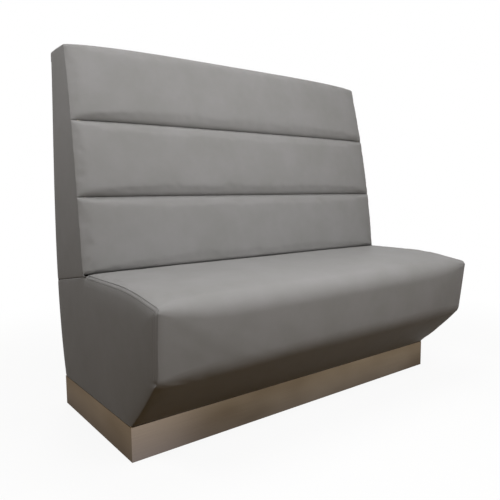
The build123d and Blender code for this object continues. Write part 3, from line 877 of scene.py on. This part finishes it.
def end_panel(name, hems, side, bulge, seed, *replaced):
    """A stuffed vinyl panel of (y, z) points inside its hems, with its rear edge turned in."""
    hems = [(even_line(line, panel_step), hem) for line, hem in hems]
    outline = panel_outline(hems)
    closed = np.concatenate([outline, outline[:1]])
    rim = list(range(len(outline)))
    flat, _, triangles, _, _, _ = delaunay_2d_cdt(panel_spots(outline, closed), [], [rim], 1, 1e-6)
    flat = np.array([tuple(spot) for spot in flat])
    drop = np.max([hem_drop(line_distance(flat, line), hem) for line, hem in hems], axis=0)
    planes = end_plane - drop + panel_swell(flat, closed, bulge, seed)
    corners = [(side * x, y, z) for x, (y, z) in zip(planes, flat)]
    faces = []
    for triangle in triangles:
        a, b, c = [flat[number] for number in triangle]
        turn = (b[0] - a[0]) * (c[1] - a[1]) - (b[1] - a[1]) * (c[0] - a[0])
        faces.append(list(triangle) if turn * side > 0 else list(reversed(triangle)))
    fold_corners, fold_faces = rear_fold(outline, side, len(corners))
    return vinyl_panel(name, corners + fold_corners, faces + fold_faces, *replaced)


seat_rear_y = rear_y - lining
wrap_edge = wrap_grid[:, -1, 1:]
first_seen = int(np.argmax(wrap_edge[:, 0] < rear_y - notch_depth))
top_line = [tuple(spot) for spot in wrap_edge[first_seen : nose_start + 1]]
nose_line = [tuple(spot) for spot in wrap_edge[nose_start : nose_end + 1]]
slant_line = [tuple(spot) for spot in wrap_edge[nose_end:-1]]
seat_toe = (rear_y - plinth_depth, plinth_high.z + plinth_gap)
seat_heel = (seat_rear_y, plinth_high.z + plinth_gap)
joint_front = (rear_y - notch_depth, ledge_front_height)
joint_rear = (seat_rear_y, ledge_rear_height)
seat_hems = [
    (top_line, top_hem),
    (nose_line, nose_hem),
    (slant_line + [seat_toe], slant_hem),
    ([seat_toe, seat_heel], plain_hem),
    ([seat_heel, joint_rear], plain_hem),
    ([joint_rear, joint_front, (rear_y - notch_depth, top_line[0][1]), top_line[0]], joint_hem),
]
for side, word, seed in ((-1, "left", 1.5), (1, "right", 5.5)):
    name = f"vinyl_seat_end_{word}"
    panel = end_panel(name, seat_hems, side, seat_end_bulge, seed, f"seat_side_cover_{word}")

# Topstitched seam of the end panels: the seam allowance lies under the panel and makes a low
# ridge beside the seam, held by a line of stitches along its inner side.
ridge_offset = 0.0062
ridge_half_width = 0.0027
ridge_rise = 0.0004
ridge_root = 0.001
ridge_step = 0.003
ridge_sides = 10
ridge_taper_rings = 4
ridge_least_taper = 0.05
stitch_offset = 0.0098
stitch_length = 0.0036
stitch_pitch = 0.0052
thread_radius = 0.0003
thread_out_share = 0.4
thread_grey = (0.27, 0.265, 0.26, 1)
thread_pale = (0.33, 0.325, 0.32, 1)


def beside_seam(edge, distance):
    """Points at a distance inside a sewn edge."""
    edge = np.asarray(edge)
    run = np.gradient(edge, axis=0)
    inward = np.stack([run[:, 1], -run[:, 0]], 1) / np.linalg.norm(run, axis=1, keepdims=True)
    return edge - inward * distance


def even_steps(line, step):
    """Points at even steps along a line, and the directions there."""
    lengths = np.concatenate([[0], np.cumsum(np.linalg.norm(np.diff(line, axis=0), axis=1))])
    wanted = np.arange(step, lengths[-1] - step, step)
    spots = np.stack([np.interp(wanted, lengths, line[:, axis]) for axis in range(line.shape[1])], 1)
    runs = np.gradient(spots, axis=0)
    return spots, runs / np.linalg.norm(runs, axis=1, keepdims=True)


thread, make, result = new_material("sewing_thread")
twist_feeds = {"Vector": object_place(make), "Scale": 900.0, "Distortion": 1.0}
twist = make("ShaderNodeTexWave", twist_feeds, bands_direction="DIAGONAL").outputs["Fac"]
colour = ramp(make, twist, 0.2, 0.8, thread_grey, thread_pale)
thread_feeds = {"Base Color": colour, "Roughness": 0.6, "Sheen Weight": 0.3}
surfaced(thread, make, result, (twist, 0.4, 0.0002), thread_feeds)

ridge_edge = np.array(top_line + nose_line[1:])


def panel_plane(spots):
    """How far out the seat's end panel lies at some (y, z) points."""
    distances = [line_distance(spots, line) for line, hem in seat_hems]
    drops = [hem_drop(distance, hem) for distance, (line, hem) in zip(distances, seat_hems)]
    swell = seat_end_bulge * (1 - np.exp(-np.min(distances, axis=0) / bulge_reach))
    return end_plane - np.max(drops, axis=0) + swell


def seam_ridge(side):
    """Corners and faces of the ridge beside the seam of one end panel."""
    spine, runs = even_steps(beside_seam(ridge_edge, ridge_offset), ridge_step)
    around = np.linspace(0, 2 * math.pi, ridge_sides, endpoint=False)
    normals = np.stack([-runs[:, 1], runs[:, 0]], 1)
    across = np.cos(around) * ridge_half_width
    spots = spine[:, None] + normals[:, None] * across[None, :, None]
    ends = np.minimum(np.arange(len(spine)), np.arange(len(spine))[::-1])
    taper = np.clip(ends / ridge_taper_rings, ridge_least_taper, 1)[:, None]
    painted_light_climb = np.sin(around)
    lift = np.where(painted_light_climb > 0, painted_light_climb * ridge_rise * taper, painted_light_climb * ridge_root)
    planes = panel_plane(spots.reshape(-1, 2)) + lift.ravel()
    corners = [(side * x, y, z) for x, (y, z) in zip(planes, spots.reshape(-1, 2))]
    faces = []
    for row in range(len(spine) - 1):
        for number in range(ridge_sides):
            a = row * ridge_sides + number
            b = row * ridge_sides + (number + 1) % ridge_sides
            faces.append(turned([a, b, b + ridge_sides, a + ridge_sides], side))
    first_ring = list(range(ridge_sides))
    last_ring = [len(corners) - ridge_sides + number for number in first_ring]
    faces.append(turned(first_ring[::-1], side))
    faces.append(turned(last_ring, side))
    return corners, faces


def stitch_row(name, side):
    """The mesh of the stitches beside the seam of one end panel."""
    stitches = bmesh.new()
    spots, runs = even_steps(beside_seam(ridge_edge, stitch_offset), stitch_pitch)
    for (y, z), (run_y, run_z), plane in zip(spots, runs, panel_plane(spots)):
        turn = Matrix.Rotation(math.atan2(run_z, run_y), 4, "X")
        middle = swollen((side * (plane + thread_radius * thread_out_share), y, z))
        place = Matrix.Translation(middle) @ turn
        stretch = Matrix.Diagonal((thread_radius, stitch_length / 2, thread_radius, 1))
        bmesh.ops.create_icosphere(stitches, subdivisions=2, radius=1, matrix=place @ stretch)
    mesh = bpy.data.meshes.new(name)
    stitches.to_mesh(mesh)
    stitches.free()
    mesh.shade_smooth()
    return mesh


for side, word in ((-1, "left"), (1, "right")):
    ridge = vinyl_shape(f"vinyl_seam_ridge_{word}", *seam_ridge(side))
    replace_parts(ridge, f"seat_seam_tape_{word}")
    name = f"topstitch_{word}"
    add_piece(name, stitch_row(name, side), thread)

# Back cover: three vinyl panels, each over its own strip of foam. They are sewn down to the
# boards at two channels and at the seat, and roll in to their seams at the top and the ends.
back_low_depth = 0.227
back_high_depth = 0.115
back_sagitta = 0.011
pad_rise = 0.0165
pad_dome = 0.0012
end_roll_width = 0.03
end_roll_height = 0.01
end_steps = 10
seam_share = 0.2
under_rolls = {"bottom": 0.014, "middle": 0.031, "top": 0.031}
over_rolls = {"bottom": 0.016, "middle": 0.016, "top": 0.009}
chord_run = back_low_depth - back_high_depth
chord_climb = back_top - seat_top
chord = math.hypot(chord_run, chord_climb)
back_radius = chord**2 / (8 * back_sagitta) + back_sagitta / 2
centre_reach = (back_radius - back_sagitta) / chord
centre_depth = (back_low_depth + back_high_depth) / 2 - centre_reach * chord_climb
centre_height = (seat_top + back_top) / 2 - centre_reach * chord_run
foam_seam_cut = 0.014
foam_rows_cut = 4
foam_back_points = 12
glue_gap = 0.0004
turn_points = 10
pad_points = 24
pad_waves = ((8.0, 4.4, 0.0008), (28.0, 6.1, 0.0003))
slack_rows = 9
back_rise = 0.0025
back_slack = 0.007
pinch_reach = 0.085
pinch = 0.009


def bowed_depth(z):
    """Depth of the bowed boards and foam sheet that the channels are sewn over."""
    return centre_depth + np.sqrt(back_radius**2 - (np.asarray(z) - centre_height) ** 2)


def drawn_in(x, rolled):
    """How far the ends of the bench draw the cover of the back in, at one place along it."""
    near_end = np.clip(1 - (end_plane - abs(x)) / pinch_reach, 0, 1) ** 2
    return end_roll_height * rolled + pinch * near_end


def pad_line(low, high, under, over, uppermost):
    """Heights and outward rise of a pad from its upper seam down to its lower one."""
    turns = np.linspace(0, math.pi / 2, turn_points)
    heights = []
    rises = []
    if uppermost:
        heights += list(high - over * (1 - np.sin(turns[::-1])))
        rises += list(pad_rise - over * (1 - np.cos(turns[::-1])))
    else:
        heights += list(high - over * (1 - np.cos(turns)))
        rises += list(pad_rise * np.sin(turns))
    middle = np.linspace(heights[-1], low + under, pad_points)[1:-1]
    share = (heights[-1] - middle) / (heights[-1] - low - under)
    heights += list(middle)
    rises += list(pad_rise + pad_dome * 4 * share * (1 - share))
    turns = turns[::-1]
    heights += list(low + under * (1 - np.cos(turns)))
    rises += list(pad_rise * np.sin(turns))
    return np.array(heights), np.array(rises)


def pad_grid(name, low, high):
    """Points of one panel of the back, with rows from its upper seam down."""
    heights, rises = pad_line(low, high, under_rolls[name], over_rolls[name], name == "top")
    raised = seam_share + (1 - seam_share) * np.clip(rises / pad_rise, 0, 1)
    columns = []
    for x, rolled in back_stations:
        depth = bowed_depth(heights) + rises - drawn_in(x, rolled) * raised
        columns.append(cover_column(x, depth, bowed(x, heights)))
    return np.stack(columns, 1)


def pad_slack(grid):
    """How freely each point of a panel of the back may wave, which is not at all at its seams."""
    half = len(grid) / 2
    slack = np.clip((half - np.abs(np.arange(len(grid)) - half)) / slack_rows, 0, 1)[:, None]
    return slack * np.clip((end_plane - np.abs(grid[..., 0])) / wave_reach, 0, 1)


back_stations = end_stations(end_plane, end_roll_width, end_steps, inner_shares)
seam_heights = (back_top, middle_high.z, middle_low.z, seat_top)
end_columns = []

for name, high, low in zip(("top", "middle", "bottom"), seam_heights, seam_heights[1:]):
    grid = pad_grid(name, low, high)
    facing = outward(grid)
    grid = waved(grid, facing, pad_waves, pad_slack(grid))
    grid = settled(grid, back_rise, back_slack)
    heights_behind = np.linspace(low + foam_seam_cut, high - foam_seam_cut, foam_back_points)
    sheet = [(rear_y - bowed_depth(z) - glue_gap, z) for z in heights_behind]
    inside = slice(foam_rows_cut, -foam_rows_cut)
    node = f"back_channel_foam_{name}"
    foam_under(f"soft_{node}", grid[inside], facing[inside], sheet, node)
    panel = grid_panel(f"vinyl_back_panel_{name}", grid, f"back_cover_{name}_panel")
    end_columns.append(grid[:, -1, 1:])

# Top strip: a vinyl strip over the top of the back, sewn to the top panel and turned down behind,
# where the rear lining covers its free edge.
strip_points = 16
strip_crown = 0.0015
strip_end_drop = 0.003
strip_end_reach = 0.001
tail_lifts = (-0.024, -0.003)
tail_backs = (0.0012, 0.001)
strip_columns = []
rim_share = seam_share + (1 - seam_share) * (1 - over_rolls["top"] / pad_rise)
edge_depth = bowed_depth(back_top) + pad_rise - over_rolls["top"]
for x, rolled in back_stations:
    drop = 0.0 if abs(x) < end_plane - strip_end_reach else strip_end_drop
    z = float(bowed(x, back_top)) - drop
    front = edge_depth - drawn_in(x, rolled) * rim_share
    depths = np.concatenate([lining - np.array(tail_backs), np.linspace(lining, front, strip_points)])
    lifts = np.concatenate([tail_lifts, strip_crown * np.sin(np.linspace(0, math.pi, strip_points))])
    strip_columns.append(cover_column(x, depths, z + lifts))
strip = grid_panel("vinyl_top_strip", np.stack(strip_columns, 1), "back_cover_top_strip")

# End panels of the back: vinyl over thin wadding, from the top down to the sloped seam over the
# seat box.
joint_gap = 0.009
back_end_bulge = 0.0015
front_line = [tuple(spot) for column in end_columns for spot in column]
front_line = [spot for spot in front_line if spot[1] > ledge_front_height + joint_gap]
end_top = float(bowed(end_plane, back_top)) - strip_end_drop
back_hems = [
    (front_line + [joint_front], fold_hem),
    ([joint_front, joint_rear], joint_hem),
    ([joint_rear, (seat_rear_y, end_top)], plain_hem),
    ([(seat_rear_y, end_top), front_line[0]], plain_hem),
]
for side, word, seed in ((-1, "left", 3.5), (1, "right", 6.5)):
    name = f"vinyl_back_end_{word}"
    panel = end_panel(name, back_hems, side, back_end_bulge, seed, f"back_side_cover_{word}")

bpy.context.view_layer.update()
